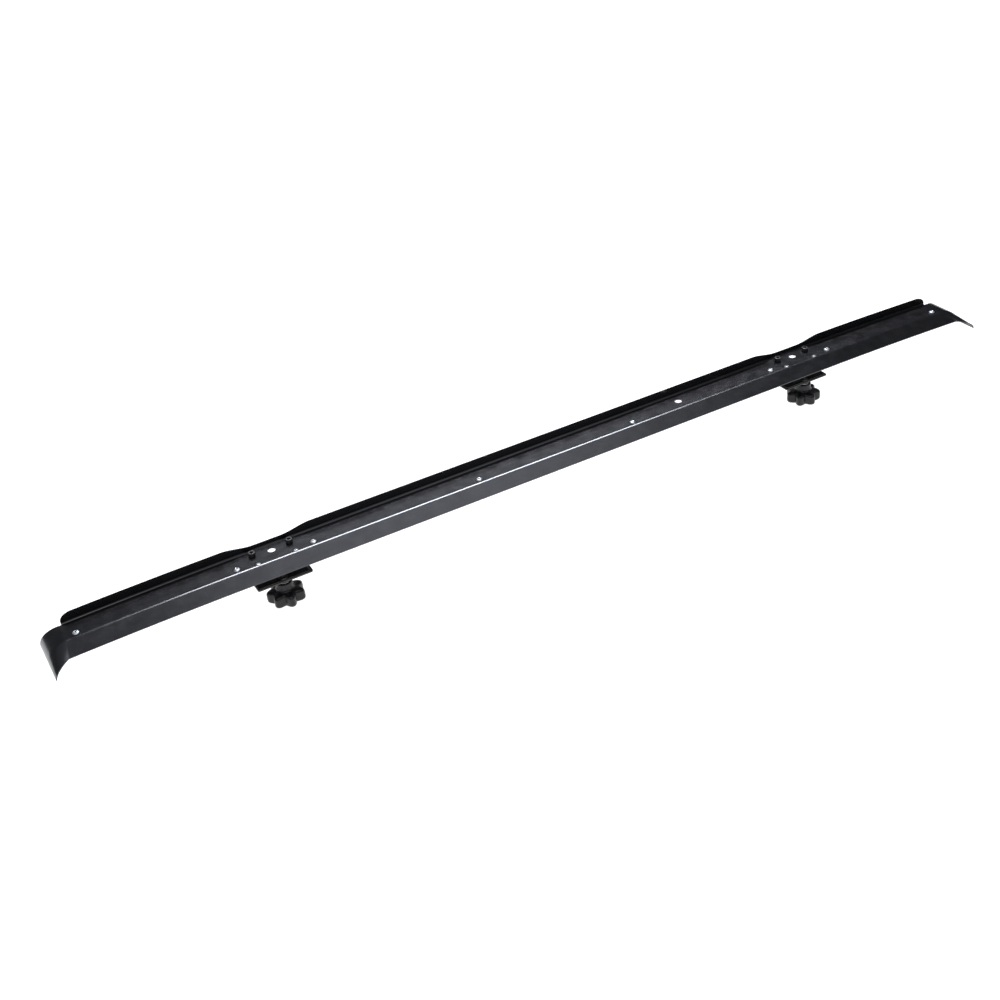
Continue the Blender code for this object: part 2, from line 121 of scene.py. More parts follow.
# Clamp
STUD_PITCH = 25.4 / 18    # 18 threads per inch
STUD_MAJOR, STUD_MINOR = 3.8, 3.15
STUD_BORE = STUD_MAJOR + GAP
KNOB_LOBES = 7
LOBE_POWER = 0.8          # less than 1, so the lobes are fuller than a cosine wave
CAP_R = 9.8
HUB_R = 11.8


# Materials

class Finish:
    """A material's node tree with short calls for the nodes used here."""

    def __init__(self, name, colour, roughness, metallic=0.0, coat=0.0, coat_roughness=0.05):
        self.material = bpy.data.materials.new(name)
        self.material.use_nodes = True
        self.tree = self.material.node_tree
        self.shader = self.tree.nodes["Principled BSDF"]
        self.shader.inputs["Base Color"].default_value = (*colour, 1.0)
        self.shader.inputs["Roughness"].default_value = roughness
        self.shader.inputs["Metallic"].default_value = metallic
        self.shader.inputs["Coat Weight"].default_value = coat
        self.shader.inputs["Coat Roughness"].default_value = coat_roughness
        self.place = self.tree.nodes.new("ShaderNodeTexCoord").outputs["Object"]
        self.height = None

    def link(self, source, target):
        self.tree.links.new(source, target)

    def noise(self, scale, detail=3.0, rough=0.5, stretch=(1.0, 1.0, 1.0)):
        """Noise whose scale is in cycles per metre, multiplied along each axis by stretch."""
        mapping = self.tree.nodes.new("ShaderNodeMapping")
        mapping.inputs["Scale"].default_value = stretch
        self.link(self.place, mapping.inputs["Vector"])
        node = self.tree.nodes.new("ShaderNodeTexNoise")
        node.inputs["Scale"].default_value = scale
        node.inputs["Detail"].default_value = detail
        node.inputs["Roughness"].default_value = rough
        self.link(mapping.outputs["Vector"], node.inputs["Vector"])
        return node.outputs["Fac"]

    def cells(self, scale):
        """Distance to the middle of scattered cells."""
        node = self.tree.nodes.new("ShaderNodeTexVoronoi")
        node.inputs["Scale"].default_value = scale
        self.link(self.place, node.inputs["Vector"])
        return node.outputs["Distance"]

    def ramp(self, factor, low, high):
        """Turns a factor into a colour or a grey value between two ends."""
        node = self.tree.nodes.new("ShaderNodeValToRGB")
        first, last = node.color_ramp.elements
        first.position, last.position = 0.3, 0.7
        for element, value in ((first, low), (last, high)):
            colour = value if isinstance(value, tuple) else (value, value, value)
            element.color = (*colour, 1.0)
        self.link(factor, node.inputs["Fac"])
        return node.outputs["Color"]

    def colour(self, factor, low, high):
        self.link(self.ramp(factor, low, high), self.shader.inputs["Base Color"])

    def roughness(self, factor, low, high):
        self.link(self.ramp(factor, low, high), self.shader.inputs["Roughness"])

    def bump(self, height, distance_mm):
        """Adds one layer of relief on top of those already there."""
        node = self.tree.nodes.new("ShaderNodeBump")
        node.inputs["Distance"].default_value = distance_mm * MM
        node.inputs["Strength"].default_value = 1.0
        self.link(height, node.inputs["Height"])
        if self.height:
            self.link(self.height, node.inputs["Normal"])
        self.height = node.outputs["Normal"]
        self.link(self.height, self.shader.inputs["Normal"])


def make_black_coat():
    """Semi-gloss black powder coat with faint orange peel and uneven gloss."""
    finish = Finish("black_coat", (0.007, 0.007, 0.008), 0.2, coat=0.35, coat_roughness=0.07)
    finish.colour(finish.noise(35.0, 4.0), (0.0050, 0.0052, 0.0058), (0.0085, 0.0088, 0.0096))
    finish.roughness(finish.noise(60.0, 5.0, 0.6), 0.17, 0.27)
    finish.bump(finish.noise(260.0, 2.0), 0.004)
    finish.bump(finish.noise(1500.0, 2.0), 0.0008)
    return finish.material


def make_black_steel():
    """Black oxide: blue-black with a brownish cast in patches, and fine machining grain."""
    finish = Finish("black_steel", (0.06, 0.06, 0.062), 0.3, metallic=0.75)
    finish.colour(finish.noise(240.0, 4.0), (0.055, 0.055, 0.060), (0.11, 0.105, 0.10))
    finish.roughness(finish.noise(900.0, 4.0), 0.26, 0.45)
    finish.bump(finish.noise(1500.0, 3.0), 0.01)
    return finish.material


def make_bright_rivet():
    """Plain aluminium, slightly dulled, with fine drawing lines."""
    finish = Finish("bright_rivet", (0.8, 0.81, 0.82), 0.24, metallic=1.0)
    finish.colour(finish.noise(500.0, 4.0), (0.68, 0.69, 0.70), (0.86, 0.87, 0.88))
    finish.roughness(finish.noise(1400.0, 4.0), 0.18, 0.36)
    finish.bump(finish.noise(1800.0, 3.0, stretch=(1.0, 1.0, 6.0)), 0.012)
    return finish.material


def make_mandrel_and_hollow_shade():
    """Near-black dull steel of the broken mandrel inside a rivet, also laid on the hollow's wall: partly the
    mandrel's own colour, partly painted shade in the hollow.
    """
    finish = Finish("mandrel_and_hollow_shade", (0.02, 0.02, 0.021), 0.6, metallic=0.4)
    finish.colour(finish.noise(2200.0, 3.0), (0.012, 0.012, 0.013), (0.04, 0.04, 0.041))
    finish.bump(finish.noise(3000.0, 3.0), 0.05)
    return finish.material


def make_zinc_steel():
    """Zinc plate: pale grey with a faint straw and blue mottle."""
    finish = Finish("zinc_steel", (0.6, 0.61, 0.62), 0.32, metallic=1.0)
    finish.colour(finish.noise(350.0, 5.0), (0.55, 0.57, 0.60), (0.68, 0.66, 0.61))
    finish.roughness(finish.noise(1100.0, 4.0), 0.24, 0.42)
    finish.bump(finish.noise(2000.0, 3.0, stretch=(8.0, 1.0, 1.0)), 0.008)
    return finish.material


def make_knob_plastic():
    """Moulded black plastic with a fine spark-eroded grain and worn, glossier patches."""
    finish = Finish("knob_plastic", (0.008, 0.008, 0.009), 0.32)
    finish.shader.inputs["Specular IOR Level"].default_value = 0.36
    finish.colour(finish.noise(180.0, 4.0), (0.006, 0.006, 0.0065), (0.012, 0.012, 0.013))
    finish.roughness(finish.noise(120.0, 5.0), 0.22, 0.36)
    finish.bump(finish.cells(2400.0), 0.03)
    finish.bump(finish.noise(400.0, 3.0), 0.03)
    return finish.material


def make_grip_rubber():
    """Matte black rubber with a fine pebble grain and a dusty bloom."""
    finish = Finish("grip_rubber", (0.02, 0.02, 0.02), 0.8)
    finish.colour(finish.noise(130.0, 5.0), (0.014, 0.014, 0.014), (0.04, 0.039, 0.037))
    finish.roughness(finish.noise(600.0, 4.0), 0.68, 0.92)
    finish.bump(finish.cells(1300.0), 0.08)
    return finish.material


FINISHES = {
    "black_coat": make_black_coat(),
    "black_steel": make_black_steel(),
    "bright_rivet": make_bright_rivet(),
    "zinc_steel": make_zinc_steel(),
    "knob_plastic": make_knob_plastic(),
    "grip_rubber": make_grip_rubber(),
}
# near-black mandrel steel, which also paints the shade in the rivets' hollows
MANDREL_AND_HOLLOW_SHADE = make_mandrel_and_hollow_shade()


# Mesh helpers

def solid(name, points, faces, material, centre=(0.0, 0.0, 0.0)):
    """Makes an object whose mesh holds its place; points are in millimetres about a centre."""
    bm = bmesh.new()
    offset = Vector(centre)
    verts = [bm.verts.new((Vector(p) + offset) * MM) for p in points]
    for face in faces:
        bm.faces.new([verts[i] for i in face])
    bmesh.ops.recalc_face_normals(bm, faces=bm.faces)
    mesh = bpy.data.meshes.new(name)
    bm.to_mesh(mesh)
    bm.free()
    mesh.materials.append(material)
    obj = bpy.data.objects.new(name, mesh)
    bpy.context.scene.collection.objects.link(obj)
    shade(obj)
    return obj


def shade(obj):
    """Smooth shading with sharp edges where the surface turns hard."""
    obj.data.shade_smooth()
    obj.data.set_sharp_from_angle(angle=math.radians(32.0))


def freeze(obj, helpers=()):
    """Applies the modifiers of an object and drops the helpers that they used."""
    graph = bpy.context.evaluated_depsgraph_get()
    mesh = bpy.data.meshes.new_from_object(obj.evaluated_get(graph))
    obj.modifiers.clear()
    obj.data = mesh
    for helper in helpers:
        bpy.data.objects.remove(helper, do_unlink=True)


def soften(obj, width):
    """Rounds hard edges, and keeps flat faces flat in the shading."""
    bevel = obj.modifiers.new("rounded_edges", "BEVEL")
    bevel.width = width * MM
    bevel.segments = 3
    bevel.limit_method = "ANGLE"
    bevel.angle_limit = math.radians(40.0)
    bevel.use_clamp_overlap = True
    freeze(obj)
    shade(obj)
    weighted = obj.modifiers.new("flat_faces", "WEIGHTED_NORMAL")
    weighted.keep_sharp = True
    freeze(obj)


def cut_away(obj, operand):
    """Adds one exact Boolean that cuts the operand out of the object."""
    modifier = obj.modifiers.new(operand.name, "BOOLEAN")
    modifier.operation = "DIFFERENCE"
    modifier.object = operand
    modifier.solver = "EXACT"


def stand_for(piece, node):
    """The piece takes the CAD node's place and body, and the node is hidden."""
    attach(piece, BODY_OF[node])
    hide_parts(node)


def ring_faces(rings, size):
    """Quads between successive closed rings of the same size."""
    faces = []
    for ring in range(rings - 1):
        a, b = ring * size, (ring + 1) * size
        for i in range(size):
            j = (i + 1) % size
            faces.append((a + i, a + j, b + j, b + i))
    return faces


def lathe(name, rows, material, centre, sides=48, core_rows=0, core=None):
    """Turns rows of (radius, z) about Z; either value may be a function of the angle.

    A radius of 0 closes an end. The first core_rows bands get the core's material.
    """
    def value(v, angle):
        return v(angle) if callable(v) else v

    points, rings = [], []
    for radius, z in rows:
        if not callable(radius) and radius == 0.0:
            rings.append([len(points)])
            points.append((0.0, 0.0, value(z, 0.0)))
            continue
        rings.append(list(range(len(points), len(points) + sides)))
        for k in range(sides):
            angle = math.tau * k / sides
            r = value(radius, angle)
            points.append((r * math.cos(angle), r * math.sin(angle), value(z, angle)))
    pairs = list(zip(rings, rings[1:]))
    if len(rings[0]) > 1:
        pairs.append((rings[-1], rings[0]))
    faces = []
    for low, high in pairs:
        for k in range(sides):
            j = (k + 1) % sides
            corners = (low[k % len(low)], low[j % len(low)], high[j % len(high)], high[k % len(high)])
            faces.append(tuple(dict.fromkeys(corners)))
    obj = solid(name, points, faces, material, centre)
    if core_rows:
        obj.data.materials.append(core)
        for polygon in list(obj.data.polygons)[:core_rows * sides]:
            polygon.material_index = 1
    return obj


def hexagonal(flats):
    """Radius of a hexagon of the given size across flats, as a function of the angle."""
    return lambda angle: flats / 2 / math.cos(angle % (math.pi / 3) - math.pi / 6)


def threaded(major, minor, pitch, low, high, steps=8):
    """Rows of a right-hand thread between two heights, run out at both ends."""
    rows = []
    count = max(2, round((high - low) / pitch * steps))
    for n in range(count + 1):
        z = low + (high - low) * n / count
        fade = min(1.0, (z - low) / pitch, (high - z) / pitch)

        def radius(angle, z=z, fade=fade):
            phase = (z / pitch - angle / math.tau) % 1.0
            crest = min(1.0, max(0.0, 1.3 * (1 - abs(2 * phase - 1)) - 0.1))
            return minor + (major - minor) * crest * fade
        rows.append((radius, z))
    return rows


def drill(obj, holes, sides=40):
    """Cuts round holes (x, y, radius) through a sheet, and applies the cut."""
    points, faces = [], []
    for x, y, radius in holes:
        start = len(points)
        for z in (DECK_TOP - CUTTER_REACH, DECK_TOP + CUTTER_REACH):
            for k in range(sides):
                angle = math.tau * k / sides
                points.append((x + radius * math.cos(angle), y + radius * math.sin(angle), z))
        faces += [tuple(start + i for i in face) for face in ring_faces(2, sides)]
        faces.append(tuple(range(start, start + sides)))
        faces.append(tuple(range(start + sides, start + 2 * sides)))
    cutter = solid(obj.name + "_holes", points, faces, obj.data.materials[0])
    cut_away(obj, cutter)
    freeze(obj, [cutter])


def blend_rows(rows, steps):
    """Catmull-Rom curve through rows of numbers."""
    padded = [rows[0]] + list(rows) + [rows[-1]]
    result = []
    for a, b, c, d in zip(padded, padded[1:], padded[2:], padded[3:]):
        for k in range(steps):
            t = k / steps
            result.append(tuple(
                0.5 * (2 * q + (r - p) * t + (2 * p - 5 * q + 4 * r - s) * t * t
                       + (3 * q - p - 3 * r + s) * t ** 3)
                for p, q, r, s in zip(a, b, c, d)))
    return result + [rows[-1]]


def sag(x):
    """How far the bar droops outboard of the clamps, and its slope angle, at a place along it."""
    reach = HALF_LENGTH - SAG_START
    part = max(0.0, abs(x) - SAG_START) / reach
    return END_SAG * part * part, math.copysign(math.atan(2 * END_SAG * part / reach), x)


def sag_places(steps=24):
    """Places along the right half where the drooping stretch gets a section."""
    return [SAG_START + (CURL_START_TOP - SAG_START) * k / steps for k in range(steps)]


# Slide cover

def cover_section():
    """Outer side of the straight cover, from its back edge to the lip: (y, z, share of the lip)."""
    slope = math.atan2(LIP_DROP, LIP_REACH)
    tangent = RIDGE_RADIUS * math.tan(slope / 2)
    section = [(COVER_BACK_Y, 0.0, 0.0), (30.0, 0.0, 0.0), (20.0, 0.0, 0.0), (10.0, 0.0, 0.0)]
    bend_steps = 16
    for k in range(bend_steps + 1):
        angle = slope * k / bend_steps
        y = tangent - RIDGE_RADIUS * math.sin(angle)
        section.append((y, RIDGE_RADIUS * (math.cos(angle) - 1), max(0.0, -y / LIP_REACH)))
    for share in (0.25, 0.4, 0.55, 0.7, 0.85, 1.0):
        section.append((-LIP_REACH * share, -LIP_DROP * share, share))
    return section


def cover_point(y, z, share, angle):
    """A point of the section carried round the end curl by an angle from 0 to 90 degrees.

    Each line follows a quarter of an ellipse. The lip's edge starts later than the top.
    """
    start = CURL_START_TOP + (CURL_START_LIP - CURL_START_TOP) * share
    along = math.sin(angle)
    left = max(0.0, math.cos(angle))
    widest = FLARE_FRONT_Y / -LIP_REACH if y < 0 else FLARE_BACK_Y / COVER_BACK_Y
    x = start + (HALF_LENGTH - start) * along
    flared_y = y * (1 + (widest - 1) * along)
    return Vector((x, flared_y, z * left - END_DROP * (1 - left) - sag(x)[0]))


def cover_grid():
    """Outer points of the cover, one list for each place along the bar, left to right."""
    section = cover_section()
    curl_steps = 44
    end = []
    for k in range(curl_steps + 1):
        angle = math.pi / 2 * k / curl_steps
        end.append([cover_point(*point, angle) for point in section])
    right = [[Vector((x, y, z - sag(x)[0])) for y, z, _ in section] for x in sag_places()] + end
    left = [[Vector((-p.x, p.y, p.z)) for p in column] for column in reversed(right)]
    return left + right


def grid_normals(grid):
    """Unit normals of a grid of points, from the neighbours on each side."""
    normals = []
    for i, column in enumerate(grid):
        row = []
        for j in range(len(column)):
            before, after = grid[max(i - 1, 0)][j], grid[min(i + 1, len(grid) - 1)][j]
            back, front = column[max(j - 1, 0)], column[min(j + 1, len(column) - 1)]
            row.append((after - before).cross(back - front).normalized())
        normals.append(row)
    return normals


def sheet_solid(name, grid, thickness, material):
    """A closed sheet: the grid is its outer side, and the inner side lies a thickness below it."""
    normals = grid_normals(grid)
    rows, size = len(grid), len(grid[0])
    outer = [p for column in grid for p in column]
    inner = [p - n * thickness for column, ns in zip(grid, normals) for p, n in zip(column, ns)]
    total = rows * size
    faces = []
    for i in range(rows - 1):
        for j in range(size - 1):
            a, b = i * size + j, (i + 1) * size + j
            faces.append((a, a + 1, b + 1, b))
            faces.append((total + a, total + b, total + b + 1, total + a + 1))
    rim = [i * size for i in range(rows)]
    rim += [(rows - 1) * size + j for j in range(1, size)]
    rim += [i * size + size - 1 for i in range(rows - 2, -1, -1)]
    rim += [j for j in range(size - 2, 0, -1)]
    for a, b in zip(rim, rim[1:] + rim[:1]):
        faces.append((a, b, total + b, total + a))
    return solid(name, outer + inner, faces, material, (0.0, 0.0, DECK_TOP))


def nodes_like(word):
    """CAD nodes whose names hold a word."""
    return sorted(n for n in BODY_OF if word in n)


def fastener_holes():
    """Places of the rivets and cap screws, with their holes' radii."""
    row = middle("cover_rivet_4").y
    holes = [(middle(n).x, row, RIVET_SHANK + 2 * GAP) for n in nodes_like("cover_rivet")]
    holes += [(middle(n).x, middle(n).y, M6 + GAP) for n in nodes_like("_cap_screw_")]
    return holes


def make_cover():
    """The slide cover, with its round holes and countersinks."""
    cover = sheet_solid("cover_sheet", cover_grid(), SHEET, FINISHES["black_coat"])
    sinks = []
    profile = [(0.0, 2.0), (M5 + 4.2, 2.0), (M5 + GAP, -1.9), (M5 + GAP, -5.0), (0.0, -5.0)]
    for node in nodes_like("_flat_screw_"):
        spot = middle(node)
        sinks.append(lathe(node + "_sink", profile, FINISHES["black_coat"], (spot.x, spot.y, DECK_TOP)))
        cut_away(cover, sinks[-1])
    freeze(cover, sinks)
    spare = [(x, y, SPARE_HOLE_R) for x, y in SPARE_HOLES]
    drill(cover, fastener_holes() + spare)
    soften(cover, EDGE)
    stand_for(cover, "slide_cover")


# Fence rail

def fence_height(x):
    """Top of the fence above the deck: scalloped beside the clamps, rounded at its ends."""
    near = abs(abs(x) - STATION_X)
    blend = min(max((near - SCALLOP_FLAT) / (SCALLOP_HALF - SCALLOP_FLAT), 0.0), 1.0)
    height = FENCE_LOW + (FENCE_TOP - FENCE_LOW) * blend * blend * (3 - 2 * blend)
    start = RAIL_HALF - FENCE_END_ROUND
    if abs(x) > start:
        part = min(1.0, (abs(x) - start) / FENCE_END_ROUND)
        foot = FENCE_BEND - SHEET - GAP + FENCE_STUB
        height = foot + (FENCE_TOP - foot) * math.sqrt(max(0.0, 1 - part * part))
    return height


def rail_stations():
    """Places along the rail where its section is set, closer together where it curves."""
    places = {0.0, *(x for x in sag_places() if x < RAIL_HALF - FENCE_END_ROUND)}
    for k in range(24):
        places.add(RAIL_HALF - FENCE_END_ROUND * (1 - math.sin(math.pi / 2 * (k + 1) / 24)))
    span = SCALLOP_HALF - SCALLOP_FLAT
    for k in range(25):
        places.add(STATION_X - SCALLOP_HALF + span * k / 24)
        places.add(STATION_X + SCALLOP_FLAT + span * k / 24)
    return sorted({-x for x in places} | places)


def rail_section(height):
    """Closed outline of the rail across the bar: flange, bend and fence."""
    top = -SHEET - GAP
    centre = (FENCE_Y - FENCE_BEND, top + FENCE_BEND)
    inner, outer = [], []
    bend_steps = 14
    for k in range(bend_steps + 1):
        angle = math.pi / 2 * k / bend_steps
        for radius, side in ((FENCE_BEND, inner), (FENCE_BEND + SHEET, outer)):
            side.append((centre[0] + radius * math.sin(angle), centre[1] - radius * math.cos(angle)))
    section = [(RAIL_FRONT_Y, top)] + inner + [(FENCE_Y, height), (FENCE_Y + SHEET, height)]
    return section + outer[::-1] + [(RAIL_FRONT_Y, top - SHEET)]


def make_rail():
    """The fence rail, which droops with the cover."""
    places = rail_stations()
    points = []
    for x in places:
        drop, _ = sag(x)
        points += [(x, y, z - drop) for y, z in rail_section(fence_height(x))]
    size = len(points) // len(places)
    last = (len(places) - 1) * size
    faces = ring_faces(len(places), size)
    faces += [tuple(range(size)), tuple(range(last, last + size))]
    rail = solid("rail_sheet", points, faces, FINISHES["black_coat"], (0.0, 0.0, DECK_TOP))
    holes = fastener_holes()
    holes += [(middle(n).x, middle(n).y, M5 + GAP) for n in nodes_like("_flat_screw_")]
    holes += [(x, y + CLEARANCE_SHIFT, CLEARANCE_R) for x, y in SPARE_HOLES]
    drill(rail, holes)
    soften(rail, EDGE)
    stand_for(rail, "fence_rail")


# Fasteners

def make_rivets():
    """Blind rivets: domed heads with a broken mandrel in the hollow, and upset tails."""
    tail = -2 * SHEET - 2 * GAP
    dome = blend_rows([(1.66, 1.56), (2.2, 1.76), (3.1, 1.56), (4.1, 1.06), (4.62, 0.66), (4.75, 0.42)], 3)
    rows = [(0.0, 0.62), (0.7, 0.55), (1.0, 0.3), (1.5, 0.22), (1.52, 1.3)]
    rows += dome + [(4.72, GAP), (RIVET_SHANK, GAP), (RIVET_SHANK, tail)]
    rows += blend_rows([(3.2, tail - 0.4), (3.5, tail - 1.2), (3.3, tail - 2.3), (2.4, tail - 3.3)], 3)
    rows += [(0.0, tail - 3.6)]
    for node in nodes_like("cover_rivet"):
        x, y = middle(node).x, middle("cover_rivet_4").y
        drop, slope = sag(x)
        # the first four bands, the mandrel and the hollow's wall, take the near-black core: the mandrel's own
        # dark steel plus painted shade in the hollow
        rivet = lathe(node + "_head", rows, FINISHES["bright_rivet"], (0.0, 0.0, 0.0), 56, 4, MANDREL_AND_HOLLOW_SHADE)
        turn = Matrix.Rotation(slope, 4, "Y")
        rivet.data.transform(Matrix.Translation(Vector((x, y, DECK_TOP - drop)) * MM) @ turn)
        stand_for(rivet, node)


def make_cap_screws():
    """Socket head screws with a knurled rim and a real thread below."""
    socket = hexagonal(4.8)

    def knurl(angle):
        return CAP_HEAD_R - 0.13 * (0.5 + 0.5 * math.cos(KNURLS * angle))

    head = [(0.0, 2.5), (socket, 3.0), (socket, 5.6), (lambda a: socket(a) + 0.35, CAP_HEAD - 0.02)]
    head += [(3.5, CAP_HEAD), (4.35, CAP_HEAD), (4.6, 5.93), (4.76, 5.78), (4.82, 5.55)]
    head += [(knurl, 5.4), (knurl, 0.7)]
    head += [(4.7, GAP + 0.1), (4.5, GAP), (M6, GAP), (M6, -4.0)]
    thread = threaded(M6, M6 - 0.5, M6_PITCH, -14.6, -4.2)[::-1]
    rows = head + thread + [(M6 - 0.8, -15.0), (0.0, -15.0)]
    for node in nodes_like("_cap_screw_"):
        spot = middle(node)
        screw = lathe(node + "_body", rows, FINISHES["black_steel"], (spot.x, spot.y, DECK_TOP), 120)
        stand_for(screw, node)


def make_flat_screws():
    """Countersunk screws with slightly crowned heads and small sockets; the socket and a ring round it are
    bright aluminium, a painted glint on the black heads.
    """
    socket = hexagonal(2.9)
    rows = [(0.0, -1.5), (socket, -1.2), (socket, 0.2), (lambda a: socket(a) + 0.2, 0.42), (2.2, 0.38)]
    rows += [(2.9, 0.30), (3.5, 0.19), (4.0, 0.07), (4.3, -0.05), (4.35, -0.2), (M5 + 0.1, -1.85), (M5, -2.3)]
    rows += threaded(M5, M5 - 0.42, M5_PITCH, -12.6, -2.6)[::-1] + [(M5 - 0.7, -13.0), (0.0, -13.0)]
    for node in nodes_like("_flat_screw_"):
        spot = middle(node)
        # the first four bands, the socket and a ring round it, take bright aluminium: a painted glint on the
        # black screw
        screw = lathe(node + "_body", rows, FINISHES["black_steel"], (spot.x, spot.y, DECK_TOP), 60,
                      4, FINISHES["bright_rivet"])
        stand_for(screw, node)


def make_nuts():
    """Hexagon nuts with chamfered corners."""
    for word, flats, bore in (("_cap_nut_", 10.0, M6 + 0.05), ("_flat_nut_", 8.0, M5 + 0.05)):
        for node in nodes_like(word):
            low, high = corner(node, 0).z, corner(node, 1).z
            radius = hexagonal(flats)
            flat_r = flats / 2 - 0.15

            def chamfer(angle, radius=radius, flat_r=flat_r):
                return (radius(angle) - flat_r) * math.tan(math.radians(30))
            rows = [
                (bore, low + 0.5), (bore, high - 0.5), (bore + 0.5, high), (flat_r, high),
                (radius, lambda a, h=high, c=chamfer: h - c(a)),
                (radius, lambda a, l=low, c=chamfer: l + c(a)),
                (flat_r, low), (bore + 0.5, low),
            ]
            spot = middle(node)
            nut = lathe(node + "_body", rows, FINISHES["black_steel"], (spot.x, spot.y, 0.0), 72)
            stand_for(nut, node)


# Clamps

def clean_copy(node, name, width):
    """A copy of a CAD node's mesh with its triangles joined into faces and its edges rounded."""
    bm = bmesh.new()
    bm.from_mesh(frame["nodes"][node].data)
    bmesh.ops.remove_doubles(bm, verts=bm.verts, dist=0.00001)
    bmesh.ops.dissolve_limit(bm, angle_limit=math.radians(0.5), verts=bm.verts, edges=bm.edges)
    mesh = bpy.data.meshes.new(name)
    bm.to_mesh(mesh)
    bm.free()
    mesh.materials.clear()
    mesh.materials.append(FINISHES[SLOT_OF[node]])
    obj = bpy.data.objects.new(name, mesh)
    bpy.context.scene.collection.objects.link(obj)
    soften(obj, width)
    stand_for(obj, node)


def make_washer(side, x):
    """Thrust washer with eased edges."""
    node = f"{side}_thrust_washer"
    low, high = corner(node, 0).z, corner(node, 1).z
    outer, inner, ease = corner(node, 1).x - x, STUD_BORE, 0.2
    rows = [
        (inner, low + ease), (inner, high - ease), (inner + ease, high), (outer - ease, high),
        (outer, high - ease), (outer, low + ease), (outer - ease, low), (inner + ease, low),
    ]
    washer = lathe(f"{side}_washer_ring", rows, FINISHES["zinc_steel"], (x, STUD_Y, 0.0), 72)
    stand_for(washer, node)


def make_stud(side, x):
    """Threaded stud with a chamfered top."""
    node = f"{side}_stud"
    low, high = corner(node, 0).z, corner(node, 1).z
    thread = threaded(STUD_MAJOR, STUD_MINOR, STUD_PITCH, low + 0.1, high - 0.5, 10)
    rows = [(0.0, low), (3.1, low)] + thread + [(2.7, high), (0.0, high)]
    stud = lathe(f"{side}_stud_thread", rows, FINISHES["black_steel"], (x, STUD_Y, 0.0), 40)
    stand_for(stud, node)


def make_knob(side, x):
    """Seven-lobed star knob with a smooth crown, a hub and a cap; rows are (tip, valley, z)."""
    node = f"{side}_knob"
    bottom, hub = corner(node, 0).z, corner(node, 1).z - corner(node, 0).z
    crown = blend_rows([
        (22.4, 16.8, 0.0), (24.8, 18.4, 0.8), (26.3, 19.4, 2.4), (26.75, 19.8, 4.8), (26.75, 19.8, 8.7),
        (26.7, 19.75, 12.6), (26.1, 19.3, 14.9), (24.2, 18.1, 16.7), (21.3, 16.5, 17.7), (17.2, 14.8, 18.1),
        (13.8, 13.4, 18.9), (12.3, 12.3, 20.9), (HUB_R, HUB_R, 23.4),
    ], 5)
    pocket_r = CAP_R + 0.4
    round_rows = [(0.0, 1.7), (pocket_r, 1.7), (pocket_r, 0.25), (pocket_r + 0.25, 0.0)]
    rise = [(r, r, z) for r, z in round_rows] + crown
    round_rows = [(HUB_R, hub - 0.7), (HUB_R - 0.25, hub - 0.25), (HUB_R - 0.8, hub)]
    round_rows += [(STUD_BORE + 0.3, hub), (STUD_BORE, hub - 0.3), (STUD_BORE, 6.0), (0.0, 6.0)]
    rise += [(r, r, z) for r, z in round_rows]

    def lobed(tip, valley):
        """Radius of a lobed outline, with a tip at the front."""
        def radius(angle):
            wave = (1 + math.cos(KNOB_LOBES * (angle + math.pi / 2))) / 2
            return valley + (tip - valley) * wave ** LOBE_POWER
        return radius
    rows = [(0.0 if tip == 0.0 else lobed(tip, valley), bottom + z) for tip, valley, z in rise]
    knob = lathe(f"{side}_knob_body", rows, FINISHES["knob_plastic"], (x, STUD_Y, 0.0), KNOB_LOBES * 24)
    stand_for(knob, node)
    cap = [(0.0, 0.42), (5.0, 0.36), (8.4, 0.3), (9.2, 0.42), (CAP_R - 0.2, 0.75), (CAP_R, 1.1)]
    cap += [(CAP_R, 1.4), (0.0, 1.4)]
    disc = lathe(f"{side}_knob_disc", [(r, bottom + z) for r, z in cap], FINISHES["knob_plastic"],
                 (x, STUD_Y, 0.0), 72)
    stand_for(disc, f"{side}_knob_cap")


def make_clamp(side, x):
    """The pieces of one clamp apart from its screws and nuts."""
    clean_copy(f"{side}_bracket", f"{side}_bracket_body", 0.6)
    clean_copy(f"{side}_nut_bar", f"{side}_nut_bar_body", 0.7)
    clean_copy(f"{side}_clamp_plate", f"{side}_plate_body", 0.45)
    clean_copy(f"{side}_grip_pad", f"{side}_pad_body", 0.35)
    clean_copy(f"{side}_retaining_clip", f"{side}_clip_body", 0.15)
    make_washer(side, x)
    make_stud(side, x)
    make_knob(side, x)


# Studio

CAMERA_PLACE = Vector((-0.8437, -1.5471, 1.1315))
CAMERA_AIM = Vector((-0.1328, -0.0566, 0.0648))
CAMERA_ROLL = -6.4
CAMERA_LENS = 50.87


def looking(place, aim, roll=0.0):
    """Matrix of a camera or light at a place, its -Z towards the aim, rolled by degrees."""
    back = (place - aim).normalized()
    right = Vector((0.0, 0.0, 1.0)).cross(back).normalized()
    up = back.cross(right)
    matrix = Matrix((right, up, back)).transposed().to_4x4()
    return Matrix.Translation(place) @ matrix @ Matrix.Rotation(math.radians(roll), 4, "Z")


def make_camera():
    """The camera, with the sensor's default width of 36 mm."""
    data = bpy.data.cameras.new("camera")
    data.lens = CAMERA_LENS
    data.clip_end = 60.0
    camera = bpy.data.objects.new("camera", data)
    camera.matrix_world = looking(CAMERA_PLACE, CAMERA_AIM, CAMERA_ROLL)
    bpy.context.scene.collection.objects.link(camera)
    bpy.context.scene.camera = camera


def area_light(name, place, aim, size, power):
    """A rectangular white softbox."""
    data = bpy.data.lights.new(name, "AREA")
    data.shape = "RECTANGLE"
    data.size, data.size_y = size
    data.energy = power
    light = bpy.data.objects.new(name, data)
    light.matrix_world = looking(Vector(place), Vector(aim))
    bpy.context.scene.collection.objects.link(light)


